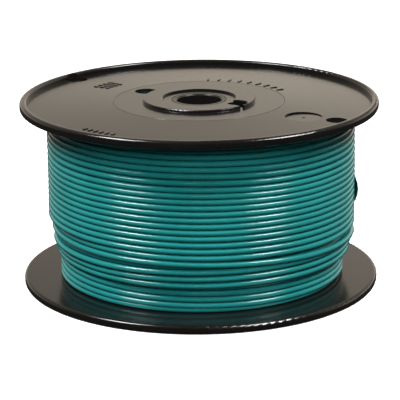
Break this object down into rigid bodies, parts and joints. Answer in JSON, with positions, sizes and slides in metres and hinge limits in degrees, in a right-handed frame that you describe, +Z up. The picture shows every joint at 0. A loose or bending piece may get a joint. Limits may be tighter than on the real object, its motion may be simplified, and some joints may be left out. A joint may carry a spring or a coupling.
{
  "type": "wire spool",
  "caption": "Round moulded plastic spool with flat rimmed flanges and an arbor bore, wound with insulated electrical wire held by a strip of tape.",
  "frame": {"origin": "centre of the lower flange's rim crest plane, which the spool stands on", "axes": "+Z up along the spool's axis, -Y towards the viewer of the front, +X to the viewer's right"},
  "size_m": [0.165, 0.165, 0.0866],
  "materials": {
    "flange_plastic": "satin black moulded plastic",
    "tube_plastic": "satin black plastic tube",
    "wire_insulation": "glossy teal green insulation",
    "copper_strands": "bare copper",
    "vinyl_tape": "dark green vinyl tape"
  },
  "bodies": {
    "root": {"top_flange": "flange_plastic", "bottom_flange": "flange_plastic", "barrel_tube": "tube_plastic", "arbor_tube": "tube_plastic", "inner_winding": "wire_insulation", "middle_winding": "wire_insulation", "outer_winding": "wire_insulation", "wire_start": "wire_insulation", "start_conductor": "copper_strands", "wire_end": "wire_insulation", "end_conductor": "copper_strands", "end_tape": "vinyl_tape"}
  },
  "joints": []
}
